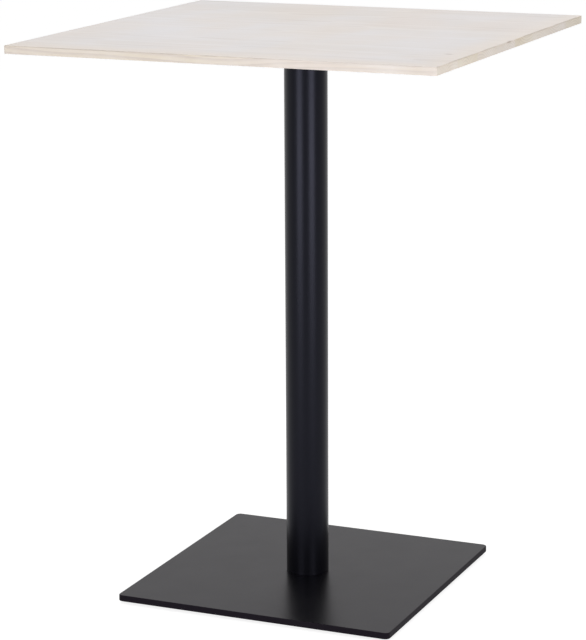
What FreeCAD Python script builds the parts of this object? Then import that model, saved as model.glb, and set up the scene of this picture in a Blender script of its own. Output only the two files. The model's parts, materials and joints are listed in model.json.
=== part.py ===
"""Square pedestal table at bar height: a glued wooden top on a steel column and base plate.

Millimetres, +Z up, origin on the floor under the middle of the column.
The front faces -Y, and the grain of the top runs along X.
"""

import FreeCAD
import Part
import Sketcher

import math
import os

from FreeCAD import Placement, Rotation, Vector

DIMENSIONS = {
    # Whole table, from the floor to the top surface, with the feet wound right in
    "table_height": 1050,
    # Wooden top, glued up from staves that run along X
    "top_side": 800,
    "top_thick": 15,
    "stave_count": 8,
    "top_round": 1.5,
    # Steel plate between the column and the top
    "mount_side": 360,
    "mount_thick": 6,
    "mount_corner": 12,
    "mount_margin": 25,
    "bolt_reach": 150,
    "slot_wide": 7,
    "slot_travel": 8,
    # Hexagon bolts, washers and threaded inserts that hold the top
    "bolt_dia": 6,
    "bolt_length": 16,
    "bolt_head_across": 10,
    "bolt_head_high": 4,
    "washer_dia": 18,
    "washer_bore": 6.6,
    "washer_thick": 1.6,
    "insert_dia": 10,
    "insert_length": 10,
    "insert_hole_deep": 11,
    # Flat battens across the grain, and their pan-head wood screws
    "batten_reach": 280,
    "batten_wide": 30,
    "batten_thick": 4,
    "batten_length": 660,
    "batten_margin": 20,
    "batten_slot_wide": 5,
    "batten_slot_travel": 6,
    "wood_screw_dia": 4,
    "wood_screw_length": 13,
    "wood_screw_head_dia": 9,
    "wood_screw_crown_dia": 6,
    "wood_screw_head_high": 2.6,
    "recess_long": 4.5,
    "recess_wide": 1,
    "recess_deep": 1.5,
    # Column tube, the weld at its upper end and the tapped disc in its lower end
    "column_dia": 80,
    "column_wall": 2.5,
    "weld_leg": 4,
    "disc_thick": 12,
    # Base plate
    "base_side": 540,
    "base_thick": 12,
    "base_corner": 10,
    "base_round": 1.5,
    # Countersunk socket screws from under the base plate into the disc
    "base_screw_count": 4,
    "base_screw_circle": 50,
    "base_screw_dia": 8,
    "base_screw_length": 22,
    "base_screw_head_dia": 16,
    "base_screw_head_high": 4,
    "base_screw_hole": 9,
    "socket_across": 5,
    "socket_deep": 3,
    # Levelling feet
    "foot_gap": 6,
    "foot_reach": 228,
    "pad_dia": 32,
    "pad_high": 3.5,
    "pad_chamfer": 0.8,
    "pad_sole_thick": 0.8,
    "pad_roof_thick": 0.9,
    "stud_dia": 8,
    "stud_length": 8.5,
    "stud_tip": 1,
    "stud_hole_deep": 10.5,
    "stud_head_dia": 12,
    "collar_across": 13,
    # Room around a screw in its thread, a head in its seat and a stud in its pad
    "thread_play": 0.05,
    "seat_play": 0.05,
    "socket_play": 0.3,
}

# Sketch names for the ends of a line, the centre of a circle, the axes and the origin point
START = 1
END = 2
CENTRE = 3
ACROSS_AXIS = -1
UPRIGHT_AXIS = -2

# Shorter than this, a sketch distance is none
NO_DISTANCE = 1e-6

# An edge counts as upright where its direction rises by this share of its length
UPRIGHT_RISE = 0.99

FEET = {
    "front_left": ("-dims.foot_reach", "-dims.foot_reach"),
    "front_right": ("dims.foot_reach", "-dims.foot_reach"),
    "back_left": ("-dims.foot_reach", "dims.foot_reach"),
    "back_right": ("dims.foot_reach", "dims.foot_reach"),
}

# Heights of the faces that the pieces stand on
BASE_TOP = "dims.foot_gap + dims.base_thick"
TOP_UNDERSIDE = "dims.table_height - dims.top_thick"
MOUNT_UNDERSIDE = "dims.table_height - dims.top_thick - dims.mount_thick"

doc = FreeCAD.newDocument("pedestal_table")
sub_parts = []


def fill_sheet():
    """The driving dimensions, one named cell each."""
    sheet = doc.addObject("Spreadsheet::Sheet", "dims")
    for row, (alias, number) in enumerate(DIMENSIONS.items(), start=1):
        sheet.set(f"A{row}", alias)
        sheet.set(f"B{row}", str(number))
        sheet.setAlias(f"B{row}", alias)
    doc.recompute()
    return sheet


def value(formula):
    """The number that a formula of sheet cells gives."""
    return float(sheet.evalExpression(formula))


def bind(item, **formulas):
    """Tie properties of an object to formulas of sheet cells."""
    for name, formula in formulas.items():
        item.setExpression(name, formula)


def place(item, across="0", back="0", up="0"):
    """Tie an object's place to formulas of sheet cells."""
    for axis, formula in (("x", across), ("y", back), ("z", up)):
        item.setExpression(f"Placement.Base.{axis}", formula)


def new_body(label):
    body = doc.addObject("PartDesign::Body", label)
    body.Label = label
    return body


def origin_item(body, role):
    return next(item for item in body.Origin.OriginFeatures if item.Role == role)


def new_sketch(body, name, plane="XY_Plane"):
    sketch = body.newObject("Sketcher::SketchObject", name)
    sketch.AttachmentSupport = [(origin_item(body, plane), "")]
    sketch.MapMode = "FlatFace"
    return sketch


def hold_point(sketch, geometry, point, across, upright):
    """Hold a sketch point at two formulas, measured from the origin."""
    ways = (("DistanceX", UPRIGHT_AXIS, across), ("DistanceY", ACROSS_AXIS, upright))
    for kind, axis, formula in ways:
        distance = value(formula)
        if abs(distance) < NO_DISTANCE:
            sketch.addConstraint(Sketcher.Constraint("PointOnObject", geometry, point, axis))
            continue
        held = Sketcher.Constraint(kind, ACROSS_AXIS, START, geometry, point, distance)
        number = sketch.addConstraint(held)
        sketch.setExpression(f"Constraints[{number}]", formula)


def draw_outline(sketch, corners):
    """A closed outline of straight lines through corners, each a pair of formulas."""
    points = [Vector(value(across), value(upright), 0) for across, upright in corners]
    first = sketch.GeometryCount
    count = len(points)
    for index, point in enumerate(points):
        sketch.addGeometry(Part.LineSegment(point, points[(index + 1) % count]))
    for index, (across, upright) in enumerate(corners):
        following = first + (index + 1) % count
        sketch.addConstraint(Sketcher.Constraint("Coincident", first + index, END, following, START))
        hold_point(sketch, first + index, START, across, upright)


def draw_rectangle(sketch, low_across, high_across, low_upright, high_upright):
    draw_outline(sketch, [
        (low_across, low_upright),
        (high_across, low_upright),
        (high_across, high_upright),
        (low_across, high_upright),
    ])


def draw_circle(sketch, across, upright, diameter):
    middle = Vector(value(across), value(upright), 0)
    circle = sketch.addGeometry(Part.Circle(middle, Vector(0, 0, 1), value(diameter) / 2))
    hold_point(sketch, circle, CENTRE, across, upright)
    number = sketch.addConstraint(Sketcher.Constraint("Diameter", circle, value(diameter)))
    sketch.setExpression(f"Constraints[{number}]", diameter)


def draw_slot(sketch, across, upright, wide, travel):
    """An upright slot with round ends, whose centres are the travel apart."""
    high = f"{upright} + {travel} / 2"
    low = f"{upright} - {travel} / 2"
    radius = value(wide) / 2
    high_middle = Vector(value(across), value(high), 0)
    low_middle = Vector(value(across), value(low), 0)
    side = Vector(radius, 0, 0)
    normal = Vector(0, 0, 1)
    high_end = sketch.addGeometry(Part.ArcOfCircle(Part.Circle(high_middle, normal, radius), 0, math.pi))
    left_side = sketch.addGeometry(Part.LineSegment(high_middle - side, low_middle - side))
    low_circle = Part.Circle(low_middle, normal, radius)
    low_end = sketch.addGeometry(Part.ArcOfCircle(low_circle, math.pi, 2 * math.pi))
    right_side = sketch.addGeometry(Part.LineSegment(low_middle + side, high_middle + side))
    loop = [high_end, left_side, low_end, right_side]
    for piece, following in zip(loop, loop[1:] + loop[:1]):
        sketch.addConstraint(Sketcher.Constraint("Tangent", piece, END, following, START))
    sketch.addConstraint(Sketcher.Constraint("Equal", high_end, low_end))
    hold_point(sketch, high_end, CENTRE, across, high)
    hold_point(sketch, low_end, CENTRE, across, low)
    number = sketch.addConstraint(Sketcher.Constraint("Radius", high_end, radius))
    sketch.setExpression(f"Constraints[{number}]", f"{wide} / 2")


def pad(body, sketch, length):
    feature = body.newObject("PartDesign::Pad", f"{sketch.Name}_pad")
    feature.Profile = sketch
    bind(feature, Length=length)
    doc.recompute()
    return feature


def cut_up(body, sketch, depth):
    """Cut a sketch on the underside upwards into the body."""
    before = body.Shape.Volume
    feature = body.newObject("PartDesign::Pocket", f"{sketch.Name}_cut")
    feature.Profile = sketch
    feature.Reversed = True
    bind(feature, Length=depth)
    doc.recompute()
    need_less(body, before)
    return feature


def need_less(body, before):
    """Stop where a cut has taken nothing away."""
    if body.Shape.Volume >= before:
        raise RuntimeError(f"a cut in {body.Label} removes nothing")


def revolve(body, sketch):
    """Turn a sketch all the way round its upright axis."""
    feature = body.newObject("PartDesign::Revolution", f"{sketch.Name}_turned")
    feature.Profile = sketch
    feature.ReferenceAxis = (sketch, ["V_Axis"])
    feature.Angle = 360
    doc.recompute()
    return feature


def repeat_round(body, features, count):
    """Repeat cuts evenly round the upright axis."""
    before = body.Shape.Volume
    pattern = body.newObject("PartDesign::PolarPattern", f"{body.Name}_{features[0].Name}_round")
    pattern.Originals = features
    pattern.Axis = (origin_item(body, "Z_Axis"), [""])
    pattern.Angle = 360
    bind(pattern, Occurrences=count)
    body.Tip = pattern
    doc.recompute()
    need_less(body, before)


def round_edges(body, base, radius, wanted):
    """Round each edge of a feature that the wanted test picks by its middle point and direction."""
    names = []
    for number, edge in enumerate(base.Shape.Edges, start=1):
        parameter = (edge.FirstParameter + edge.LastParameter) / 2
        if wanted(edge.valueAt(parameter), edge.tangentAt(parameter)):
            names.append(f"Edge{number}")
    feature = body.newObject("PartDesign::Fillet", f"{base.Name}_rounded")
    feature.Base = (base, names)
    bind(feature, Radius=radius)
    doc.recompute()
    return feature


def is_upright(direction):
    return abs(direction.z) > UPRIGHT_RISE


def primitive(kind, name, across="0", back="0", up="0", **formulas):
    """A basic solid with its sizes and place tied to the sheet."""
    item = doc.addObject(f"Part::{kind}", name)
    bind(item, **formulas)
    place(item, across, back, up)
    return item


def cut_from(name, base, tool):
    item = doc.addObject("Part::Cut", name)
    item.Base = base
    item.Tool = tool
    return item


def fuse(name, pieces):
    item = doc.addObject("Part::MultiFuse", name)
    item.Shapes = pieces
    return item


def add_group(label, fastener, spots, up):
    """One sub-part that holds a copy of a fastener at each spot, at a height given by a formula."""
    doc.recompute()
    copies = []
    for across, back in spots:
        copy = fastener.Shape.Solids[0].copy()
        copy.Placement = Placement(Vector(across, back, 0), Rotation())
        copies.append(copy)
    group = doc.addObject("Part::Feature", label)
    group.Label = label
    group.Shape = Part.makeCompound(copies)
    group.Placement = Placement(Vector(0, 0, value(up)), Rotation())
    sub_parts.append(group)


def stave_numbers():
    return range(1, int(value("dims.stave_count")) + 1)


def stave_line(number, share):
    """Where across the grain a stave's front side (0), middle (0.5) or back side (1) lies."""
    return f"(({number} - 1 + {share}) / dims.stave_count - 0.5) * dims.top_side"


def staves_within(reach):
    """The staves whose middle lies within a reach of the centre."""
    return [number for number in stave_numbers() if abs(value(stave_line(number, 0.5))) < value(reach)]


def bolted_staves():
    return staves_within("dims.mount_side / 2 - dims.mount_margin")


def battened_staves():
    return staves_within("dims.batten_length / 2 - dims.batten_margin")


def fastener_lines(staves, reach):
    """Both spots of each stave, as pairs of formulas."""
    return [(side, stave_line(number, 0.5)) for number in staves for side in (f"-{reach}", reach)]


def fastener_spots(staves, reach):
    """Both spots of each stave, as numbers."""
    return [(value(across), value(back)) for across, back in fastener_lines(staves, reach)]


def make_stave(number):
    """One board of the top, eased where it meets the outside of the panel."""
    body = new_body(f"tabletop_stave_{number}")
    place(body, up=TOP_UNDERSIDE)
    outline = new_sketch(body, f"stave_{number}_outline")
    end = "dims.top_side / 2"
    draw_rectangle(outline, f"-{end}", end, stave_line(number, 0), stave_line(number, 1))
    board = pad(body, outline, "dims.top_thick")
    outside = value(end)

    def on_outside(middle, direction):
        on_end = math.isclose(abs(middle.x), outside)
        on_side = math.isclose(abs(middle.y), outside)
        return (on_end and on_side) if is_upright(direction) else (on_end or on_side)

    round_edges(body, board, "dims.top_round", on_outside)
    if number in bolted_staves():
        insert_deep = "dims.insert_hole_deep"
        bore_stave(body, "insert_holes", number, "dims.bolt_reach", "dims.insert_dia", insert_deep)
    if number in battened_staves():
        screw_deep = "dims.wood_screw_length - dims.batten_thick"
        bore_stave(body, "screw_holes", number, "dims.batten_reach", "dims.wood_screw_dia", screw_deep)
    sub_parts.append(body)


def bore_stave(body, name, number, reach, diameter, depth):
    """Two blind holes in the underside of a stave."""
    holes = new_sketch(body, f"{name}_{number}")
    for across, back in fastener_lines([number], reach):
        draw_circle(holes, across, back, diameter)
    cut_up(body, holes, depth)


def make_mount_plate():
    """Square plate on the column's upper end, slotted so that the top can move across its grain."""
    body = new_body("mount_plate")
    place(body, up=MOUNT_UNDERSIDE)
    outline = new_sketch(body, "mount_outline")
    half = "dims.mount_side / 2"
    draw_rectangle(outline, f"-{half}", half, f"-{half}", half)
    plate = pad(body, outline, "dims.mount_thick")
    round_edges(body, plate, "dims.mount_corner", lambda middle, direction: is_upright(direction))
    slots = new_sketch(body, "mount_slots")
    for across, back in fastener_lines(bolted_staves(), "dims.bolt_reach"):
        draw_slot(slots, across, back, "dims.slot_wide", "dims.slot_travel")
    cut_up(body, slots, "dims.mount_thick")
    sub_parts.append(body)


def make_top_fasteners():
    """Inserts in the top, and the bolts and washers below the mount plate."""
    spots = fastener_spots(bolted_staves(), "dims.bolt_reach")

    sleeve = primitive("Cylinder", "insert_sleeve", Radius="dims.insert_dia / 2", Height="dims.insert_length")
    thread = primitive("Cylinder", "insert_thread", Radius="dims.bolt_dia / 2", Height="dims.insert_length")
    add_group("threaded_inserts", cut_from("insert", sleeve, thread), spots, TOP_UNDERSIDE)

    disc = primitive("Cylinder", "washer_disc", Radius="dims.washer_dia / 2", Height="dims.washer_thick")
    bore = primitive("Cylinder", "washer_hole", Radius="dims.washer_bore / 2", Height="dims.washer_thick")
    washer_underside = f"{MOUNT_UNDERSIDE} - dims.washer_thick"
    add_group("mount_washers", cut_from("washer", disc, bore), spots, washer_underside)

    head = primitive("Prism", "bolt_head", Circumradius="dims.bolt_head_across / sqrt(3)",
                     Height="dims.bolt_head_high", up="-dims.bolt_head_high")
    shank = primitive("Cylinder", "bolt_shank", Radius="dims.bolt_dia / 2 - dims.thread_play",
                      Height="dims.bolt_length")
    add_group("mount_bolts", fuse("bolt", [head, shank]), spots, washer_underside)


def make_batten(label, side):
    """Flat bar under the top, across its grain, with a slot for each stave's screw."""
    body = new_body(label)
    place(body, up=f"{TOP_UNDERSIDE} - dims.batten_thick")
    middle = f"{side} * dims.batten_reach"
    outline = new_sketch(body, f"{label}_outline")
    left = f"{middle} - dims.batten_wide / 2"
    right = f"{middle} + dims.batten_wide / 2"
    end = "dims.batten_length / 2"
    draw_rectangle(outline, left, right, f"-{end}", end)
    bar = pad(body, outline, "dims.batten_thick")
    round_edges(body, bar, "dims.batten_thick", lambda point, direction: is_upright(direction))
    slots = new_sketch(body, f"{label}_slots")
    for number in battened_staves():
        draw_slot(slots, middle, stave_line(number, 0.5), "dims.batten_slot_wide", "dims.batten_slot_travel")
    cut_up(body, slots, "dims.batten_thick")
    sub_parts.append(body)


def make_batten_screws():
    """Pan-head wood screws with a cross recess, seen from below."""
    crown = primitive("Cone", "wood_screw_crown", Radius1="dims.wood_screw_crown_dia / 2",
                      Radius2="dims.wood_screw_head_dia / 2", Height="dims.wood_screw_head_high",
                      up="-dims.wood_screw_head_high")
    shank = primitive("Cylinder", "wood_screw_shank", Radius="dims.wood_screw_dia / 2",
                      Height="dims.wood_screw_length")
    whole = fuse("wood_screw_whole", [crown, shank])
    bars = []
    for name, along, over in (("long", "dims.recess_long", "dims.recess_wide"),
                              ("cross", "dims.recess_wide", "dims.recess_long")):
        bars.append(primitive("Box", f"recess_{name}", Length=along, Width=over, Height="dims.recess_deep",
                              across=f"-{along} / 2", back=f"-{over} / 2", up="-dims.wood_screw_head_high"))
    screw = cut_from("wood_screw", whole, fuse("recess", bars))
    spots = fastener_spots(battened_staves(), "dims.batten_reach")
    add_group("batten_screws", screw, spots, f"{TOP_UNDERSIDE} - dims.batten_thick")


def make_column_tube():
    """Round tube from the base plate to the mount plate, flared at the top by its weld."""
    body = new_body("column_tube")
    place(body, up=BASE_TOP)
    profile = new_sketch(body, "column_profile", "XZ_Plane")
    outer = "dims.column_dia / 2"
    inner = "dims.column_dia / 2 - dims.column_wall"
    length = f"{MOUNT_UNDERSIDE} - ({BASE_TOP})"
    draw_outline(profile, [
        (inner, "0"),
        (outer, "0"),
        (outer, f"{length} - dims.weld_leg"),
        (f"{outer} + dims.weld_leg", length),
        (inner, length),
    ])
    revolve(body, profile)
    sub_parts.append(body)


def screw_circle_spot():
    """Where the first base screw stands, on the diagonal."""
    along = "dims.base_screw_circle / 2 / sqrt(2)"
    return along, along


def make_column_disc():
    """Disc welded in the column's lower end, tapped for the base screws."""
    body = new_body("column_foot_disc")
    place(body, up=BASE_TOP)
    outline = new_sketch(body, "disc_outline")
    draw_circle(outline, "0", "0", "dims.column_dia - 2 * dims.column_wall")
    pad(body, outline, "dims.disc_thick")
    thread = new_sketch(body, "disc_thread")
    draw_circle(thread, *screw_circle_spot(), "dims.base_screw_dia")
    hole = cut_up(body, thread, "dims.disc_thick")
    repeat_round(body, [hole], "dims.base_screw_count")
    sub_parts.append(body)


def make_base_plate():
    """Square plate, with countersunk holes at its middle and a blind tapped hole over each foot."""
    body = new_body("base_plate")
    place(body, up="dims.foot_gap")
    outline = new_sketch(body, "base_outline")
    half = "dims.base_side / 2"
    draw_rectangle(outline, f"-{half}", half, f"-{half}", half)
    plate = pad(body, outline, "dims.base_thick")
    corners = round_edges(body, plate, "dims.base_corner", lambda middle, direction: is_upright(direction))
    round_edges(body, corners, "dims.base_round", lambda middle, direction: not is_upright(direction))

    threads = new_sketch(body, "foot_threads")
    for across, back in FEET.values():
        draw_circle(threads, across, back, "dims.stud_dia")
    cut_up(body, threads, "dims.stud_hole_deep")

    across, back = screw_circle_spot()
    clearance = new_sketch(body, "base_screw_clearance")
    draw_circle(clearance, across, back, "dims.base_screw_hole")
    hole = cut_up(body, clearance, "dims.base_thick")
    before = body.Shape.Volume
    seat = body.newObject("PartDesign::SubtractiveCone", "base_screw_seat")
    seat.AttachmentSupport = [(origin_item(body, "XY_Plane"), "")]
    seat.MapMode = "FlatFace"
    seat.setExpression("AttachmentOffset.Base.x", across)
    seat.setExpression("AttachmentOffset.Base.y", back)
    bind(seat, Radius1="dims.base_screw_head_dia / 2 + dims.seat_play",
         Radius2="dims.base_screw_dia / 2 + dims.seat_play", Height="dims.base_screw_head_high")
    doc.recompute()
    need_less(body, before)
    repeat_round(body, [hole, seat], "dims.base_screw_count")
    sub_parts.append(body)


def make_base_screws():
    """Countersunk screws, heads flush with the underside of the base plate."""
    head = primitive("Cone", "base_screw_head", Radius1="dims.base_screw_head_dia / 2",
                     Radius2="dims.base_screw_dia / 2 - dims.thread_play", Height="dims.base_screw_head_high")
    shank = primitive("Cylinder", "base_screw_shank", Radius="dims.base_screw_dia / 2 - dims.thread_play",
                      Height="dims.base_screw_length")
    socket = primitive("Prism", "base_screw_socket", Circumradius="dims.socket_across / sqrt(3)",
                       Height="dims.socket_deep")
    screw = cut_from("base_screw", fuse("base_screw_whole", [head, shank]), socket)
    count = int(value("dims.base_screw_count"))
    first = Vector(*(value(formula) for formula in screw_circle_spot()), 0)
    spots = []
    for index in range(count):
        spot = Rotation(Vector(0, 0, 1), 360 * index / count).multVec(first)
        spots.append((spot.x, spot.y))
    add_group("base_screws", screw, spots, "dims.foot_gap")


def make_foot_pad(corner, across, back):
    """Round nylon pad, hollow above its sole to hold the head of its stud."""
    body = new_body(f"foot_pad_{corner}")
    place(body, across, back)
    profile = new_sketch(body, f"pad_{corner}_profile", "XZ_Plane")
    outer = "dims.pad_dia / 2"
    chamfer = "dims.pad_chamfer"
    neck = "dims.stud_dia / 2 + dims.socket_play"
    hollow = "dims.stud_head_dia / 2 + dims.socket_play"
    roof = "dims.pad_high - dims.pad_roof_thick"
    draw_outline(profile, [
        ("0", "0"),
        (f"{outer} - {chamfer}", "0"),
        (outer, chamfer),
        (outer, f"dims.pad_high - {chamfer}"),
        (f"{outer} - {chamfer}", "dims.pad_high"),
        (neck, "dims.pad_high"),
        (neck, roof),
        (hollow, roof),
        (hollow, "dims.pad_sole_thick"),
        ("0", "dims.pad_sole_thick"),
    ])
    revolve(body, profile)
    sub_parts.append(body)


def make_foot_stud(corner, across, back):
    """Threaded stud with a hexagon collar above the pad and a round head inside it."""
    core = "dims.stud_dia / 2 - dims.thread_play"
    head_up = "dims.pad_sole_thick + dims.socket_play"
    head_high = "dims.pad_high - dims.pad_roof_thick - dims.pad_sole_thick - 2 * dims.socket_play"
    collar_high = "dims.foot_gap - dims.pad_high"
    straight = "dims.stud_length - dims.stud_tip"
    head = primitive("Cylinder", f"stud_head_{corner}", Radius="dims.stud_head_dia / 2", Height=head_high,
                     up=head_up)
    neck = primitive("Cylinder", f"stud_neck_{corner}", Radius=core, Height=f"dims.pad_high - {head_up}",
                     up=head_up)
    collar = primitive("Prism", f"stud_collar_{corner}", Circumradius="dims.collar_across / sqrt(3)",
                       Height=collar_high, up="dims.pad_high")
    stem = primitive("Cylinder", f"stud_stem_{corner}", Radius=core, Height=straight, up="dims.foot_gap")
    tip = primitive("Cone", f"stud_tip_{corner}", Radius1=core, Radius2=f"{core} - dims.stud_tip",
                    Height="dims.stud_tip", up=f"dims.foot_gap + {straight}")
    stud = fuse(f"foot_stud_{corner}", [head, neck, collar, stem, tip])
    stud.Label = f"foot_stud_{corner}"
    place(stud, across, back)
    sub_parts.append(stud)


def check_document():
    """Stop where an object failed or a sub-part has no sound shape."""
    doc.recompute()
    for item in doc.Objects:
        if "Invalid" in item.State or "Error" in item.State:
            raise RuntimeError(f"{item.Name} failed: {item.State}")
    for part in sub_parts:
        if part.Shape.isNull() or not part.Shape.isValid() or not part.Shape.Solids:
            raise RuntimeError(f"{part.Label} has no sound shape")


def write_parts():
    os.makedirs("parts", exist_ok=True)
    for part in sub_parts:
        part.Shape.exportStep(f"parts/{part.Label}.step")
        box = part.Shape.BoundBox
        print(f"{part.Label}: {len(part.Shape.Solids)} solids, z {box.ZMin:.2f} to {box.ZMax:.2f}")


sheet = fill_sheet()
for stave in stave_numbers():
    make_stave(stave)
make_mount_plate()
make_top_fasteners()
make_batten("batten_left", -1)
make_batten("batten_right", 1)
make_batten_screws()
make_column_tube()
make_column_disc()
make_base_plate()
make_base_screws()
for foot, (foot_across, foot_back) in FEET.items():
    make_foot_pad(foot, foot_across, foot_back)
    make_foot_stud(foot, foot_across, foot_back)
check_document()
write_parts()
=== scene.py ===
"""Looks of the square pedestal table: whitewashed boards and black powder-coated steel.

Metres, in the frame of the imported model: +Z up, the front faces -Y, the grain runs along X.
"""

import json
import math
import random

import bmesh
import bpy
from mathutils import Matrix, Vector, noise


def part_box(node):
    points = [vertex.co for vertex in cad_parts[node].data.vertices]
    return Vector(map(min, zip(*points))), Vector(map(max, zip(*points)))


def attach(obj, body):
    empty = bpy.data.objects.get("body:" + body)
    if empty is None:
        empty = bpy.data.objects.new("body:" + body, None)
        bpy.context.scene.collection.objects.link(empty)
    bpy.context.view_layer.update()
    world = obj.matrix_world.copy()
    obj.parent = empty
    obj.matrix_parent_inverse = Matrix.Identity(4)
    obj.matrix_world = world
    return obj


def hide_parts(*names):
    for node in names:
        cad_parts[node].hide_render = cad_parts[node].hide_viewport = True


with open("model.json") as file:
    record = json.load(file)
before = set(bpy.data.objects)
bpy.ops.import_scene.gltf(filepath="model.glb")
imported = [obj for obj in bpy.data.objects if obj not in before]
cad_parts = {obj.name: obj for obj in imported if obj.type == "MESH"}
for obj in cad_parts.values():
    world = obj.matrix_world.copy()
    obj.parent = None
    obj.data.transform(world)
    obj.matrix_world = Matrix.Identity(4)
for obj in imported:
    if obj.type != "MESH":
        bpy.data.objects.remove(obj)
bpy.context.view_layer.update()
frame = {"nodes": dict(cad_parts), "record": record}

MM = 0.001
BODY = "table"
STAVES = sorted(name for name in frame["nodes"] if name.startswith("tabletop_stave_"))
CORNERS = ("front_left", "front_right", "back_left", "back_right")
# Edges that turn by more than this are shaded sharp
SHARP_ANGLE = math.radians(35)

# Camera, as fitted to the straight edges of the table in the photograph
CAMERA_PLACE = Vector((1.783, -4.191, 1.583))
CAMERA_YAW = math.radians(23.37)
CAMERA_PITCH = math.radians(13.285)
CAMERA_ROLL = math.radians(-0.3)
CAMERA_LENS = 140.9

# Softboxes stand to the left and right of the camera and show as two soft streaks on the column
SOFTBOX_DISTANCE = 2.3
SOFTBOX_WIDTH = 1.1
SOFTBOX_HEIGHT = 0.72
SOFTBOX_MIDDLE = 0.54
# The azimuth of each, from the front to the right, and its radiance
SOFTBOXES = {
    "left_softbox": (math.radians(-11.5), 6.5),
    "right_softbox": (math.radians(52.5), 7.0),
}

# A broad dim panel fills in the right side and stays out of the gloss
FILL_AZIMUTH = math.radians(105)
FILL_DISTANCE = 2.4
FILL_SIDE = 2.0
FILL_MIDDLE = 0.9
FILL_RADIANCE = 0.5

# A soft panel overhead, the even light of the room, and the white that the eye sees behind the table
CEILING_PANEL = 2.4
CEILING_HEIGHT = 3.2
CEILING_RADIANCE = 1.75
ROOM_LIGHT = 0.4
BACKDROP_WHITE = 1.0
BACKDROP_COLOR = (1, 1, 1, 1)

# Floor as the camera and gloss see it: mostly white, with the light it gets added
FLOOR_SIDE = 80.0
FLOOR_DROP = 0.1 * MM
FLOOR_COLOR = (0.8, 0.8, 0.8, 1)
FLOOR_WHITE = 0.8
FLOOR_SHADED = (0.5, 0.5, 0.5, 1)

# Arris of the boards, eased by hand, so its radius wanders in waves with finer ones on them
ARRIS = 1.5 * MM
ARRIS_WANDER = 0.35
ARRIS_WAVES_PER_M = 55
ARRIS_FINER_WAVES = 4
ARRIS_FINER_SHARE = 0.5
# Grid lines of a board: close together near an eased edge, then even, and far apart along the inner boards
ARRIS_STEPS = [step * 0.3 * MM for step in range(8)] + [2.8 * MM, 4 * MM]
BOARD_STEP = 6 * MM
INNER_BOARD_STEP = 60 * MM

# Column tube and the fillet weld round its upper end
COLUMN_SEGMENTS = 360
COLUMN_WALL = 2.5 * MM
COLUMN_CHAMFER = 0.4 * MM
WELD_LEG = 4 * MM
WELD_ROWS = 10
WELD_RIPPLES = 84
WELD_RIPPLE_HIGH = 0.22 * MM
WELD_RIPPLE_LAG = 2.4
# Rows of the tube below the weld, in weld legs from the tube's upper end
WELD_APPROACH = (3, 1.5, 1.1)

# Hexagon bolts under the mount plate
BOLT_SEGMENTS = 72
BOLT_X = 150 * MM
BOLT_Y = (50 * MM, 150 * MM)
BOLT_HEAD_ACROSS = 10 * MM
BOLT_HEAD_HIGH = 4 * MM
BOLT_RADIUS = 2.95 * MM
BOLT_TIP = 0.8 * MM

# Hexagons: the slope of the chamfer, and its circle as a share of the width across the flats
HEX_CHAMFER_SLOPE = 0.577
HEX_CIRCLE = 0.485

# Levelling studs, with heights from the floor up
STUD_SEGMENTS = 72
STUD_RADIUS = 3.95 * MM
STUD_HEAD_RADIUS = 6 * MM
STUD_HEAD_LOW = 1.1 * MM
STUD_HEAD_HIGH = 2.3 * MM
COLLAR_ACROSS = 13 * MM
COLLAR_LOW = 3.5 * MM
COLLAR_HIGH = 6 * MM
STUD_TOP = 14.5 * MM
STUD_TIP = 1 * MM

# Thread of the studs: how steep its flanks are, and what of them is cut flat at the crest and root
THREAD_PITCH = 1.25 * MM
THREAD_DEEP = 0.7 * MM
THREAD_ROW_STEP = THREAD_PITCH / 12
THREAD_SLOPE = 1.25
THREAD_FLAT = 0.125


def node_box(*names):
    """The box round some CAD nodes."""
    boxes = [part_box(name) for name in names]
    low = Vector([min(box[0][axis] for box in boxes) for axis in range(3)])
    high = Vector([max(box[1][axis] for box in boxes) for axis in range(3)])
    return low, high


TOP_LOW, TOP_HIGH = node_box(*STAVES)

# Whitewashed wood: the wash drifts between warm and cool, and the wood between pink and ochre
WASH_WARM = (0.804, 0.752, 0.724, 1)
WASH_COOL = (0.790, 0.767, 0.775, 1)
WASH_RIM = (0.835, 0.770, 0.722, 1)
WASH_YELLOW = (0.806, 0.752, 0.630, 1)
WOOD_PINK = (0.60, 0.44, 0.33, 1)
WOOD_OCHRE = (0.60, 0.48, 0.25, 1)
WOOD_DARK = (0.36, 0.25, 0.15, 1)
GRIME = (0.31, 0.25, 0.18, 1)
KNOT_BROWN = (0.20, 0.12, 0.07, 1)
WOOD_INDEX = 1.42

# Per stave, from the front: how ochre its wood is, how much more its end grain is washed, and how yellow
STAVE_OCHRE = (0.2, 0.8, 0.7, 0.5, 0.8, 0.2, 0.4, 0.7)
STAVE_END_COVER = (0.05, -0.02, 0.02, 0.05, -0.04, 0.02, 0.0, -0.02)
STAVE_YELLOW = (0.4, 0.5, 0.1, 0.0, 0.45, 0.35, 0.1, 0.35)

# Grain and drifts of the wood, in waves per metre: a number, or one for each axis
PORE_WAVES = (25, 1300, 1300)
FIBRE_WAVES = (6, 380, 380)
STREAK_WAVES = (1.6, 45, 45)
CLOUD_WAVES = 6.0
DRIFT_WAVES = (6, 3, 6)
PATCH_WAVES = 13.0
NOISE_MIDDLE = 0.5

# Growth rings: where in each the late wood comes up and ends, and how far and how often they bend
RING_SPACING = 5 * MM
ACROSS_GRAIN = (0, 1, 1)
LATE_RISE = (0.3, 0.88)
LATE_FALL = (1.0, 0.92)
RING_BEND = (0, 30 * MM, 30 * MM)
RING_BEND_WAVES = (1.7, 8, 8)
# The pith lies above or below the middle of its board, and somewhat to the side
PITH_DEPTH = (30 * MM, 70 * MM)
PITH_ASIDE = 40 * MM

# How far a face turns before it counts as the upper face, or as an end or a side
UPPER_TURN = (0.35, 0.9)
EDGE_TURN = (0.5, 0.9)

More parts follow.
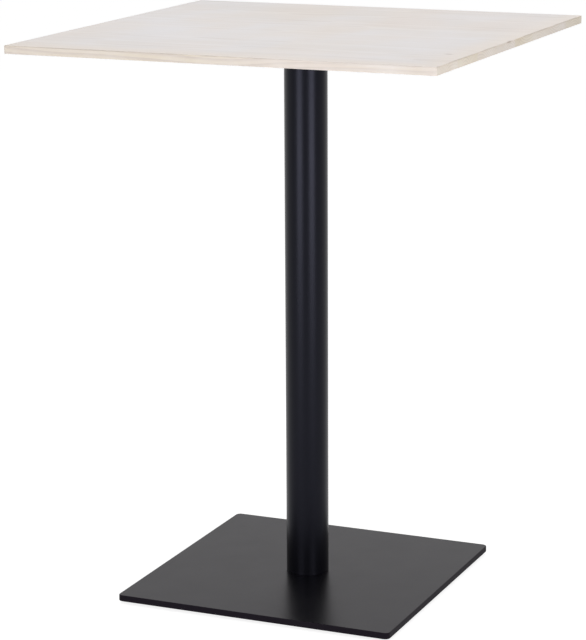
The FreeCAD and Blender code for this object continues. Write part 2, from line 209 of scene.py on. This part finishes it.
# Wear of the top's arris, in patches, at the ends and along the front, where it fades to the right
ARRIS_WORN = (2.6 * MM, 0.5 * MM)
WEAR_PATCH = (0.4, 0.57)
END_BAND = 2 * MM
LEFT_FADE = (0.22, -0.05)
LEFT_LEVELS = (0.15, 1.0)
# Band down from the top of the board ends where less wash covers the wood, so they are darker there
END_TOP_DARKENING_DEPTH = (7 * MM, 1 * MM)
GRIME_SHARE = 0.34

# Brownish heart of the panel at the back, and the warmer rim along its front and right edges
HEART_MIDDLE = (-0.12, 0.29, TOP_HIGH.z)
HEART_REACH = (0.25, 0.12, 0.1)
HEART_CLOUD = (0.3, 0.6)
RIM_WIDTH = 70 * MM

# Share of the wood that the wash covers: its middle, its spread between boards, and what changes it
COVER_MIDDLE = 0.76
COVER_SPREAD = 0.012
COVER = {
    "upper": 0.2,
    "front_left": -0.05,
    # Less wash, so darker wood, in a band along the top of the board ends
    "end_top_darkening": -0.08,
    "heart": -0.08,
    "late": -0.07,
    "late_side": 0.04,
    "cloud": 0.26,
    "streak": 0.13,
    "fibre": 0.2,
    "pore": 0.12,
    "edge_patch": 0.6,
}

# What darkens the bare wood, turns it ochre, roughens it and raises its surface
DARKENING = {"late": 0.5, "fibre": 0.3, "pore": 0.2}
DARK_RANGE = (0.1, 0.9)
OCHRE_DRIFT = 2.0
OCHRE_LEFTWARD = 0.8
COOL_DRIFT = (0.3, 0.7)
WOOD_ROUGHNESS = 0.47
WOOD_ROUGHENING = {"pore": 0.1, "late": 0.06}
WOOD_RELIEF = {"fibre": 0.35, "pore": 0.35, "late": 0.3}
WOOD_RELIEF_DEEP = 0.12 * MM
WOOD_RELIEF_STRENGTH = 0.35

# Small dark marks: middle, reach and strength, and how their outlines are shaken
KNOTS = [
    (Vector((0.362, -0.238, 1.05)), (0.011, 0.0065, 0.01), 0.38),
    (Vector((0.4, -0.033, 1.0487)), (0.006, 0.017, 0.0022), 0.5),
]
KNOT_SHAKE = Vector((0.004, 0.002, 0.001))
KNOT_SHAKE_WAVES = 260.0
# The heart and the marks come up from their outer reach to this share of it
SPOT_FADE = (1.0, 0.3)

# Powder coats: the tint and index of the gloss, and how much rougher it is on the plates' cut edges
PLATE_COAT = {"tint": (0.88, 0.68, 0.96, 1), "index": 1.245, "edge_roughness": 0.37}
COLUMN_COAT = {"tint": (0.72, 0.735, 1.0, 1), "index": 1.262}
COAT_DARK = (0.0010, 0.0010, 0.0015, 1)
COAT_LIGHT = (0.0019, 0.0019, 0.0027, 1)
COAT_PEEL_WAVES = 700.0
COAT_GRIT_WAVES = 3200.0
COAT_MOTTLE_WAVES = 16.0
COAT_ROUGHNESS = 0.255
COAT_ROUGHENING = {"mottle": 0.06, "peel": 0.04}
COAT_RELIEF = {"peel": 0.6, "grit": 0.4}
COAT_RELIEF_DEEP = 0.03 * MM
COAT_RELIEF_STRENGTH = 0.3
UPRIGHT_TURN = (0.7, 0.3)

# Bare and plated metals: bright colour, dull colour and roughness
METALS = {
    "zinc_steel": ((0.62, 0.63, 0.66, 1), (0.5, 0.5, 0.49, 1), 0.24),
    "plain_steel": ((0.4, 0.4, 0.41, 1), (0.3, 0.3, 0.3, 1), 0.32),
    "insert_brass": ((0.78, 0.58, 0.27, 1), (0.6, 0.43, 0.2, 1), 0.26),
}
METAL_CLOUD_WAVES = 180.0
METAL_SCRATCH_WAVES = (400, 400, 6000)
METAL_ROUGHENING = {"cloud": 0.16, "scratch": 0.08}
METAL_RELIEF_DEEP = 0.01 * MM
METAL_RELIEF_STRENGTH = 0.25

# Moulded nylon of the pads
NYLON_DARK = (0.018, 0.018, 0.02, 1)
NYLON_LIGHT = (0.032, 0.032, 0.034, 1)
NYLON_SPARK_WAVES = 2600.0
NYLON_CLOUD_WAVES = 120.0
NYLON_ROUGHNESS = 0.42
NYLON_ROUGHENING = {"spark": 0.15, "cloud": 0.1}
NYLON_RELIEF_DEEP = 0.03 * MM
NYLON_RELIEF_STRENGTH = 0.4


class Shader:
    """Adds and joins the nodes of one material. An input takes a number, a colour or a socket."""

    def __init__(self, name):
        self.material = bpy.data.materials.new(name)
        self.material.use_nodes = True
        self.nodes = self.material.node_tree.nodes
        self.links = self.material.node_tree.links
        self.nodes.clear()

    def add(self, kind, inputs, **settings):
        node = self.nodes.new(kind)
        for name, setting in settings.items():
            setattr(node, name, setting)
        for key, item in inputs.items():
            if isinstance(item, bpy.types.NodeSocket):
                self.links.new(item, node.inputs[key])
            else:
                node.inputs[key].default_value = item
        return node

    def point(self):
        return self.add("ShaderNodeTexCoord", {}).outputs["Object"]

    def normal(self):
        return self.add("ShaderNodeNewGeometry", {}).outputs["Normal"]

    def split(self, vector):
        return self.add("ShaderNodeSeparateXYZ", {0: vector}).outputs

    def math(self, operation, *terms):
        return self.add("ShaderNodeMath", dict(enumerate(terms)), operation=operation).outputs[0]

    def times(self, first, second):
        return self.math("MULTIPLY", first, second)

    def minus(self, first, second):
        return self.math("SUBTRACT", first, second)

    def absolute(self, value):
        return self.math("ABSOLUTE", value)

    def swing(self, value):
        """A noise value about nought instead of about its middle."""
        return self.minus(value, NOISE_MIDDLE)

    def vector(self, operation, *terms):
        node = self.add("ShaderNodeVectorMath", dict(enumerate(terms)), operation=operation)
        return node.outputs["Value" if operation == "LENGTH" else "Vector"]

    def noise(self, vector, waves, detail=2.0, output="Fac"):
        """Noise of so many waves per metre: a number, or one for each axis."""
        if isinstance(waves, tuple):
            vector, waves = self.vector("MULTIPLY", vector, waves), 1.0
        inputs = {"Vector": vector, "Scale": waves, "Detail": detail}
        return self.add("ShaderNodeTexNoise", inputs).outputs[output]

    def ease(self, value, low, high, at_low=0.0, at_high=1.0):
        """A smooth step from one value to another."""
        inputs = {"Value": value, "From Min": low, "From Max": high, "To Min": at_low, "To Max": at_high}
        return self.add("ShaderNodeMapRange", inputs, interpolation_type="SMOOTHSTEP").outputs[0]

    def total(self, *terms):
        """The sum of some terms, where a pair is a value and its weight."""
        result = 0.0
        for term in terms:
            value = self.times(*term) if isinstance(term, tuple) else term
            result = self.math("ADD", value, result)
        return result

    def weigh(self, traits, weights, *more):
        """The sum of some traits by their weights, and of more terms."""
        return self.total(*[(traits[name], weight) for name, weight in weights.items()], *more)

    def blend(self, share, first, second):
        node = self.add("ShaderNodeMix", {0: share, 6: first, 7: second}, data_type="RGBA")
        return node.outputs[2]

    def bump(self, height, depth, strength):
        inputs = {"Height": height, "Distance": depth, "Strength": strength}
        return self.add("ShaderNodeBump", inputs).outputs[0]

    def finish(self, **inputs):
        """End in one principled surface; underscores in input names stand for spaces."""
        sockets = {name.replace("_", " "): item for name, item in inputs.items()}
        surface = self.add("ShaderNodeBsdfPrincipled", sockets)
        self.add("ShaderNodeOutputMaterial", {"Surface": surface.outputs[0]})
        return self.material


def spot_mask(shader, point, middle, reach):
    """One inside an ellipsoid round a point, none outside it."""
    away = shader.vector("DIVIDE", shader.vector("SUBTRACT", point, middle), reach)
    return shader.ease(shader.vector("LENGTH", away), *SPOT_FADE)


def ring_mask(shader, point, pith):
    """The dark late wood of growth rings that bend slowly along the board."""
    bend = shader.noise(point, RING_BEND_WAVES, output="Color")
    bend = shader.vector("SUBTRACT", bend, (NOISE_MIDDLE,) * 3)
    bent = shader.vector("MULTIPLY_ADD", bend, RING_BEND, point)
    spoke = shader.vector("MULTIPLY", shader.vector("SUBTRACT", bent, pith), ACROSS_GRAIN)
    ring = shader.math("FRACT", shader.math("DIVIDE", shader.vector("LENGTH", spoke), RING_SPACING))
    return shader.times(shader.ease(ring, *LATE_RISE), shader.ease(ring, *LATE_FALL))


def grain_traits(shader, point, pith):
    """Growth rings, pores, fibres and streaks of a board, and slow drifts of its wash."""
    return {
        "late": ring_mask(shader, point, pith),
        "pore": shader.noise(point, PORE_WAVES),
        "fibre": shader.noise(point, FIBRE_WAVES, detail=3.0),
        "streak": shader.noise(point, STREAK_WAVES, detail=3.0),
        "cloud": shader.noise(point, CLOUD_WAVES, detail=3.0),
        "drift": shader.noise(point, DRIFT_WAVES),
        "patch": shader.noise(point, PATCH_WAVES),
    }


def face_traits(shader):
    """Faces of a board: the upper one, the ends, the sides, and both of these as its edge."""
    facing = shader.split(shader.normal())
    end = shader.ease(shader.absolute(facing["X"]), *EDGE_TURN)
    side = shader.ease(shader.absolute(facing["Y"]), *EDGE_TURN)
    return {
        "upper": shader.ease(facing["Z"], *UPPER_TURN),
        "end": end,
        "side": side,
        "edge": shader.math("MAXIMUM", end, side),
    }


def place_traits(shader, point, traits):
    """What hangs on the place in the top: wear and grime of its arris, its heart and its warmer rim."""
    place = shader.split(point)
    inset_x = shader.minus(TOP_HIGH.x, shader.absolute(place["X"]))
    inset_y = shader.minus(TOP_HIGH.y, shader.absolute(place["Y"]))
    inset = shader.math("MINIMUM", inset_x, inset_y)
    below = shader.minus(TOP_HIGH.z, place["Z"])
    arris = shader.ease(shader.math("MAXIMUM", inset, below), *ARRIS_WORN)
    at_end = shader.ease(shader.minus(inset_y, inset_x), -END_BAND, END_BAND)
    leftward = shader.ease(place["X"], *LEFT_FADE, *LEFT_LEVELS)
    wear = shader.times(shader.math("MAXIMUM", at_end, leftward), shader.ease(traits["patch"], *WEAR_PATCH))
    heart = spot_mask(shader, point, HEART_MIDDLE, HEART_REACH)
    inset_front = shader.minus(place["Y"], TOP_LOW.y)
    inset_right = shader.minus(TOP_HIGH.x, place["X"])
    rim = shader.ease(shader.math("MINIMUM", inset_front, inset_right), RIM_WIDTH, 0.0)
    return {
        "leftward": leftward,
        "worn": shader.times(arris, wear),
        # A band along the top of the board ends, darker under less wash
        "end_top_darkening": shader.times(traits["end"], shader.ease(below, *END_TOP_DARKENING_DEPTH)),
        "heart": shader.times(heart, shader.ease(traits["cloud"], *HEART_CLOUD)),
        "rim": shader.times(traits["upper"], rim),
    }


def wash_cover(shader, traits, middle, end_cover):
    """How much of the wood the wash covers."""
    parts = {name: traits[name] for name in ("upper", "end_top_darkening", "heart", "late")}
    for name in ("cloud", "streak", "fibre", "pore"):
        parts[name] = shader.swing(traits[name])
    parts["edge_patch"] = shader.times(shader.swing(traits["patch"]), traits["edge"])
    parts["front_left"] = shader.times(traits["side"], traits["leftward"])
    parts["late_side"] = shader.times(traits["side"], traits["late"])
    cover = shader.weigh(parts, COVER, (traits["end"], end_cover), middle)
    return shader.add("ShaderNodeClamp", {"Value": cover}).outputs[0]


def add_knots(shader, point, color, low, high):
    """The small dark marks that lie on a board, with ragged outlines."""
    for spot, reach, strength in KNOTS:
        if low.y < spot.y < high.y:
            shake = shader.noise(point, KNOT_SHAKE_WAVES, output="Color")
            ragged = shader.vector("MULTIPLY_ADD", shake, KNOT_SHAKE, point)
            mark = spot_mask(shader, ragged, spot + KNOT_SHAKE / 2, reach)
            color = shader.blend(shader.times(mark, strength), color, KNOT_BROWN)
    return color


def wood_material(number, low, high):
    """One board: growth rings round its own pith, under a wash that is thin on the edges."""
    pick = random.Random(number)
    shader = Shader(f"whitewashed_wood_{number}")
    point = shader.point()
    middle = (low + high) / 2
    depth = pick.choice((-1, 1)) * pick.uniform(*PITH_DEPTH)
    aside = pick.uniform(-PITH_ASIDE, PITH_ASIDE)
    traits = grain_traits(shader, point, (0, middle.y + aside, middle.z + depth))
    traits.update(face_traits(shader))
    traits.update(place_traits(shader, point, traits))

    ochre = shader.total(
        (shader.swing(traits["drift"]), OCHRE_DRIFT),
        (traits["leftward"], OCHRE_LEFTWARD),
        STAVE_OCHRE[number - 1],
    )
    wood = shader.blend(ochre, WOOD_PINK, WOOD_OCHRE)
    wood = shader.blend(shader.ease(shader.weigh(traits, DARKENING), *DARK_RANGE), wood, WOOD_DARK)

    cool = shader.times(shader.ease(traits["drift"], *COOL_DRIFT), shader.minus(1.0, traits["edge"]))
    wash = shader.blend(cool, WASH_WARM, WASH_COOL)
    wash = shader.blend(traits["rim"], wash, WASH_RIM)
    wash = shader.blend(shader.times(traits["end"], STAVE_YELLOW[number - 1]), wash, WASH_YELLOW)

    cover_middle = COVER_MIDDLE + pick.uniform(-COVER_SPREAD, COVER_SPREAD)
    cover = wash_cover(shader, traits, cover_middle, STAVE_END_COVER[number - 1])
    color = shader.blend(cover, wood, wash)
    color = shader.blend(shader.times(traits["worn"], GRIME_SHARE), color, GRIME)
    relief = shader.weigh(traits, WOOD_RELIEF)
    return shader.finish(
        Base_Color=add_knots(shader, point, color, low, high),
        Roughness=shader.weigh(traits, WOOD_ROUGHENING, WOOD_ROUGHNESS),
        IOR=WOOD_INDEX,
        Normal=shader.bump(relief, WOOD_RELIEF_DEEP, WOOD_RELIEF_STRENGTH),
    )


def powder_coat_material(name, tint, index, edge_roughness=0.0):
    """Fine satin powder coat: a very low orange peel under a soft gloss, rougher on upright edges."""
    shader = Shader(name)
    point = shader.point()
    traits = {
        "peel": shader.noise(point, COAT_PEEL_WAVES),
        "grit": shader.noise(point, COAT_GRIT_WAVES, detail=1.0),
        "mottle": shader.noise(point, COAT_MOTTLE_WAVES, detail=3.0),
    }
    roughness = shader.weigh(traits, COAT_ROUGHENING, COAT_ROUGHNESS)
    if edge_roughness:
        facing = shader.split(shader.normal())
        upright = shader.ease(shader.absolute(facing["Z"]), *UPRIGHT_TURN)
        roughness = shader.total((upright, edge_roughness), roughness)
    relief = shader.weigh(traits, COAT_RELIEF)
    return shader.finish(
        Base_Color=shader.blend(traits["mottle"], COAT_DARK, COAT_LIGHT),
        Roughness=roughness,
        IOR=index,
        Specular_Tint=tint,
        Normal=shader.bump(relief, COAT_RELIEF_DEEP, COAT_RELIEF_STRENGTH),
    )


def metal_material(name, bright, dull, roughness):
    """Bare or plated metal with a cloudy tone and fine scratches."""
    shader = Shader(name)
    point = shader.point()
    traits = {
        "cloud": shader.noise(point, METAL_CLOUD_WAVES, detail=3.0),
        "scratch": shader.noise(point, METAL_SCRATCH_WAVES),
    }
    return shader.finish(
        Base_Color=shader.blend(traits["cloud"], bright, dull),
        Metallic=1.0,
        Roughness=shader.weigh(traits, METAL_ROUGHENING, roughness),
        Normal=shader.bump(traits["scratch"], METAL_RELIEF_DEEP, METAL_RELIEF_STRENGTH),
    )


def nylon_material():
    """Moulded black nylon with a fine spark texture."""
    shader = Shader("black_nylon")
    point = shader.point()
    traits = {
        "spark": shader.noise(point, NYLON_SPARK_WAVES),
        "cloud": shader.noise(point, NYLON_CLOUD_WAVES),
    }
    return shader.finish(
        Base_Color=shader.blend(traits["cloud"], NYLON_DARK, NYLON_LIGHT),
        Roughness=shader.weigh(traits, NYLON_ROUGHENING, NYLON_ROUGHNESS),
        Normal=shader.bump(traits["spark"], NYLON_RELIEF_DEEP, NYLON_RELIEF_STRENGTH),
    )


def new_object(name, mesh, material):
    """An object from a finished bmesh, smooth but for its sharp edges."""
    data = bpy.data.meshes.new(name)
    bmesh.ops.recalc_face_normals(mesh, faces=mesh.faces)
    mesh.to_mesh(data)
    mesh.free()
    data.shade_smooth()
    data.set_sharp_from_angle(angle=SHARP_ANGLE)
    data.materials.append(material)
    piece = bpy.data.objects.new(name, data)
    bpy.context.scene.collection.objects.link(piece)
    return piece


def axis_lines(low, high, eased_low, eased_high, step):
    """Places of grid lines along one axis, close together where an arris is eased."""
    lines = [low + near for near in ARRIS_STEPS] if eased_low else [low]
    far = [high - near for near in reversed(ARRIS_STEPS)] if eased_high else [high]
    gap = far[0] - lines[-1]
    count = max(1, round(gap / step))
    lines += [lines[-1] + gap * index / count for index in range(1, count)]
    return lines + far


def grid_box(lines):
    """A closed box of quads on the grid lines of its three axes."""
    mesh = bmesh.new()
    corners = {}

    def corner(place):
        if place not in corners:
            corners[place] = mesh.verts.new([lines[axis][place[axis]] for axis in range(3)])
        return corners[place]

    for axis in range(3):
        across, along = (axis + 1) % 3, (axis + 2) % 3
        for level in (0, len(lines[axis]) - 1):
            for i in range(len(lines[across]) - 1):
                for j in range(len(lines[along]) - 1):
                    quad = []
                    for di, dj in ((0, 0), (1, 0), (1, 1), (0, 1)):
                        place = [0, 0, 0]
                        place[axis], place[across], place[along] = level, i + di, j + dj
                        quad.append(corner(tuple(place)))
                    mesh.faces.new(quad)
    return mesh


def ease_board(mesh, low, high, eased):
    """Round the outer edges of a board, with a radius that wanders along them."""
    for vertex in mesh.verts:
        place = vertex.co.copy()
        waves = place * ARRIS_WAVES_PER_M
        wander = noise.noise(waves) + ARRIS_FINER_SHARE * noise.noise(waves * ARRIS_FINER_WAVES)
        radius = ARRIS * (1 + ARRIS_WANDER * max(-1.0, min(1.0, wander)))
        inner = place.copy()
        for axis in range(3):
            floor = low[axis] + (radius if eased[axis][0] else 0)
            roof = high[axis] - (radius if eased[axis][1] else 0)
            inner[axis] = min(max(place[axis], floor), roof)
        away = place - inner
        if away.length > 0:
            vertex.co = inner + away * (max(abs(part) for part in away) / away.length)


def add_boards():
    """The staves of the top, each with its own grain."""
    for number, name in enumerate(STAVES, start=1):
        low, high = node_box(name)
        eased = [(True, True), (number == 1, number == len(STAVES)), (True, True)]
        outer = number in (1, len(STAVES))
        steps = (BOARD_STEP if outer else INNER_BOARD_STEP, BOARD_STEP, BOARD_STEP)
        lines = [axis_lines(low[axis], high[axis], *eased[axis], steps[axis]) for axis in range(3)]
        mesh = grid_box(lines)
        ease_board(mesh, low, high, eased)
        board = new_object(f"board_{number}", mesh, wood_material(number, low, high))
        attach(board, BODY)
        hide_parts(name)


def spin(mesh, rows, segments, middle, hollow=False):
    """A turned shape round an upright axis. A row gives the radius and height at each angle."""
    rings = []
    for row in rows:
        ring = []
        for step in range(segments):
            angle = 2 * math.pi * step / segments
            radius, height = row(angle)
            out = Vector((radius * math.cos(angle), radius * math.sin(angle), height))
            ring.append(mesh.verts.new(middle + out))
        rings.append(ring)
    pairs = list(zip(rings, rings[1:]))
    if hollow:
        pairs.append((rings[-1], rings[0]))
    else:
        mesh.faces.new(rings[0])
        mesh.faces.new(rings[-1])
    for lower, upper in pairs:
        for step in range(segments):
            after = (step + 1) % segments
            mesh.faces.new((lower[step], lower[after], upper[after], upper[step]))


def round_row(radius, height):
    """The same radius and height at every angle."""
    return lambda angle: (radius, height)


def weld_row(radius, share, top):
    """One line along the weld: a rounded fillet with the ripples of its runs."""
    foot = radius + WELD_LEG * (1 - math.cos(share * math.pi / 2))
    height = top - WELD_LEG * (1 - share)

    def row(angle):
        ripple = math.sin(WELD_RIPPLES * angle + WELD_RIPPLE_LAG * math.sin(share * math.pi))
        return foot + WELD_RIPPLE_HIGH * math.sin(share * math.pi) * (1 + ripple), height

    return row


def hex_rows(across, low, high, flat_top=False):
    """A hexagon whose corners are turned off at its lower end, and at its upper end unless that is flat."""
    circle = HEX_CIRCLE * across

    def side(angle):
        return across / 2 / math.cos(angle % (math.pi / 3) - math.pi / 6)

    def flank_row(height, slope):
        return lambda angle: (side(angle), height + slope * (side(angle) - circle))

    rows = [round_row(circle, low), flank_row(low, HEX_CHAMFER_SLOPE)]
    if flat_top:
        return rows + [flank_row(high, 0)]
    return rows + [flank_row(high, -HEX_CHAMFER_SLOPE), round_row(circle, high)]


def thread_row(height, low, high):
    """One level of a right-hand thread that runs out at its foot and is coned at its tip."""
    run = min(1.0, (height - low) / THREAD_PITCH)
    cone = STUD_RADIUS - max(0.0, height - (high - STUD_TIP))

    def row(angle):
        turn = (height / THREAD_PITCH - angle / (2 * math.pi)) % 1
        groove = min(1.0, max(0.0, THREAD_SLOPE * abs(2 * turn - 1) - THREAD_FLAT))
        return min(cone, STUD_RADIUS - THREAD_DEEP * run * groove), height

    return row


def add_column(finish):
    """The column tube, with its weld to the mount plate."""
    low, high = node_box("column_tube")
    radius = (high.x - low.x) / 2 - WELD_LEG
    bore = radius - COLUMN_WALL
    rows = [
        round_row(bore, low.z),
        round_row(radius - COLUMN_CHAMFER, low.z),
        round_row(radius, low.z + COLUMN_CHAMFER),
    ]
    rows += [round_row(radius, high.z - legs * WELD_LEG) for legs in WELD_APPROACH]
    rows += [weld_row(radius, index / WELD_ROWS, high.z) for index in range(WELD_ROWS + 1)]
    rows.append(round_row(bore, high.z))
    mesh = bmesh.new()
    spin(mesh, rows, COLUMN_SEGMENTS, Vector(), hollow=True)
    column = new_object("column", mesh, finish)
    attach(column, BODY)
    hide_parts("column_tube")


def add_bolts(finish):
    """The hexagon bolts that hold the top."""
    low, high = node_box("mount_bolts")
    seat = low.z + BOLT_HEAD_HIGH
    rows = hex_rows(BOLT_HEAD_ACROSS, low.z, seat, flat_top=True)
    rows += [
        round_row(BOLT_RADIUS, seat),
        round_row(BOLT_RADIUS, high.z - BOLT_TIP),
        round_row(BOLT_RADIUS - BOLT_TIP, high.z),
    ]
    mesh = bmesh.new()
    for x in (-BOLT_X, BOLT_X):
        for y in [side * step for side in (-1, 1) for step in BOLT_Y]:
            spin(mesh, rows, BOLT_SEGMENTS, Vector((x, y, 0)))
    bolts = new_object("hexagon_bolts", mesh, finish)
    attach(bolts, BODY)
    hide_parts("mount_bolts")


def add_studs(finish):
    """The threaded studs of the feet."""
    rows = [
        round_row(STUD_HEAD_RADIUS, STUD_HEAD_LOW),
        round_row(STUD_HEAD_RADIUS, STUD_HEAD_HIGH),
        round_row(STUD_RADIUS, STUD_HEAD_HIGH),
        round_row(STUD_RADIUS, COLLAR_LOW),
    ]
    rows += hex_rows(COLLAR_ACROSS, COLLAR_LOW, COLLAR_HIGH)
    count = math.ceil((STUD_TOP - COLLAR_HIGH) / THREAD_ROW_STEP)
    for index in range(count + 1):
        height = COLLAR_HIGH + (STUD_TOP - COLLAR_HIGH) * index / count
        rows.append(thread_row(height, COLLAR_HIGH, STUD_TOP))
    for corner in CORNERS:
        node = f"foot_stud_{corner}"
        low, high = node_box(node)
        middle = Vector(((low.x + high.x) / 2, (low.y + high.y) / 2, 0))
        mesh = bmesh.new()
        spin(mesh, rows, STUD_SEGMENTS, middle)
        stud = new_object(f"threaded_stud_{corner}", mesh, finish)
        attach(stud, f"{corner}_foot_stud")
        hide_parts(node)


def paint_nodes():
    """Give each CAD node that stays its finish."""
    finishes = {name: metal_material(name, *look) for name, look in METALS.items()}
    finishes["black_powder_coat"] = powder_coat_material("black_powder_coat", **PLATE_COAT)
    finishes["black_nylon"] = nylon_material()
    slots = {part["node"]: part["material_slot"] for part in frame["record"]["subparts"]}
    for name, node in frame["nodes"].items():
        if slots[name] in finishes:
            for place in node.material_slots:
                place.material = finishes[slots[name]]
    return finishes


def add_camera():
    """The photograph's camera."""
    forward = Vector((
        -math.sin(CAMERA_YAW) * math.cos(CAMERA_PITCH),
        math.cos(CAMERA_YAW) * math.cos(CAMERA_PITCH),
        -math.sin(CAMERA_PITCH),
    ))
    level = Vector((math.cos(CAMERA_YAW), math.sin(CAMERA_YAW), 0))
    upright = level.cross(forward)
    right = math.cos(CAMERA_ROLL) * level + math.sin(CAMERA_ROLL) * upright
    up = math.cos(CAMERA_ROLL) * upright - math.sin(CAMERA_ROLL) * level
    lens = bpy.data.cameras.new("camera")
    lens.lens = CAMERA_LENS
    lens.clip_end = 2 * FLOOR_SIDE
    camera = bpy.data.objects.new("camera", lens)
    turn = Matrix((right, up, -forward)).transposed()
    camera.matrix_world = Matrix.Translation(CAMERA_PLACE) @ turn.to_4x4()
    bpy.context.scene.collection.objects.link(camera)
    bpy.context.scene.camera = camera


def shown_to_eye(nodes, links):
    """One where the camera looks straight, in gloss or through glass, and none for other light."""
    path = nodes.new("ShaderNodeLightPath")
    result = path.outputs["Is Camera Ray"]
    for ray in ("Is Glossy Ray", "Is Transmission Ray"):
        either = nodes.new("ShaderNodeMath")
        either.operation = "MAXIMUM"
        links.new(result, either.inputs[0])
        links.new(path.outputs[ray], either.inputs[1])
        result = either.outputs[0]
    return result


def add_floor():
    """A pale floor that looks white and keeps the table's shadow."""
    shader = Shader("floor")
    plain = shader.add("ShaderNodeBsdfDiffuse", {"Color": FLOOR_COLOR})
    white = shader.add("ShaderNodeEmission", {"Strength": FLOOR_WHITE})
    shaded = shader.add("ShaderNodeBsdfDiffuse", {"Color": FLOOR_SHADED})
    seen = shader.add("ShaderNodeAddShader", {0: white.outputs[0], 1: shaded.outputs[0]})
    eye = shown_to_eye(shader.nodes, shader.links)
    surface = shader.add("ShaderNodeMixShader", {0: eye, 1: plain.outputs[0], 2: seen.outputs[0]})
    shader.add("ShaderNodeOutputMaterial", {"Surface": surface.outputs[0]})
    mesh = bmesh.new()
    bmesh.ops.create_grid(mesh, x_segments=1, y_segments=1, size=FLOOR_SIDE / 2)
    floor = new_object("floor", mesh, shader.material)
    floor.location.z = -FLOOR_DROP


def add_panel(name, place, back, width, height, radiance):
    """A glowing panel that shines away from its back and does not show itself to the camera."""
    lamp = bpy.data.lights.new(name, "AREA")
    lamp.shape = "RECTANGLE"
    lamp.size = width
    lamp.size_y = height
    lamp.energy = radiance * math.pi * width * height
    panel = bpy.data.objects.new(name, lamp)
    panel.location = place
    panel.rotation_euler = back.to_track_quat("Z", "Y").to_euler()
    panel.visible_camera = False
    bpy.context.scene.collection.objects.link(panel)
    return panel


def add_standing_panel(name, azimuth, distance, middle, width, height, radiance):
    """An upright panel that faces the table."""
    out = Vector((math.sin(azimuth), -math.cos(azimuth), 0))
    return add_panel(name, out * distance + Vector((0, 0, middle)), out, width, height, radiance)


def add_world():
    """Even room light, and plain white where the eye sees past the table."""
    world = bpy.data.worlds.new("studio")
    bpy.context.scene.world = world
    world.use_nodes = True
    nodes = world.node_tree.nodes
    links = world.node_tree.links
    level = nodes.new("ShaderNodeMapRange")
    links.new(shown_to_eye(nodes, links), level.inputs["Value"])
    level.inputs["To Min"].default_value = ROOM_LIGHT
    level.inputs["To Max"].default_value = BACKDROP_WHITE
    links.new(level.outputs[0], nodes["Background"].inputs["Strength"])
    nodes["Background"].inputs["Color"].default_value = BACKDROP_COLOR


def add_light():
    """Room light, two softboxes, a dim fill panel and a panel overhead."""
    bpy.context.scene.view_settings.view_transform = "Standard"
    add_world()
    for name, (azimuth, radiance) in SOFTBOXES.items():
        add_standing_panel(
            name, azimuth, SOFTBOX_DISTANCE, SOFTBOX_MIDDLE, SOFTBOX_WIDTH, SOFTBOX_HEIGHT, radiance)
    fill = add_standing_panel(
        "fill_panel", FILL_AZIMUTH, FILL_DISTANCE, FILL_MIDDLE, FILL_SIDE, FILL_SIDE, FILL_RADIANCE)
    fill.visible_glossy = False
    above = Vector((0, 0, 1))
    add_panel("ceiling_panel", above * CEILING_HEIGHT, above, CEILING_PANEL, CEILING_PANEL, CEILING_RADIANCE)


add_camera()
add_floor()
add_light()
finishes = paint_nodes()
add_boards()
add_column(powder_coat_material("column_powder_coat", **COLUMN_COAT))
add_bolts(finishes["zinc_steel"])
add_studs(finishes["zinc_steel"])
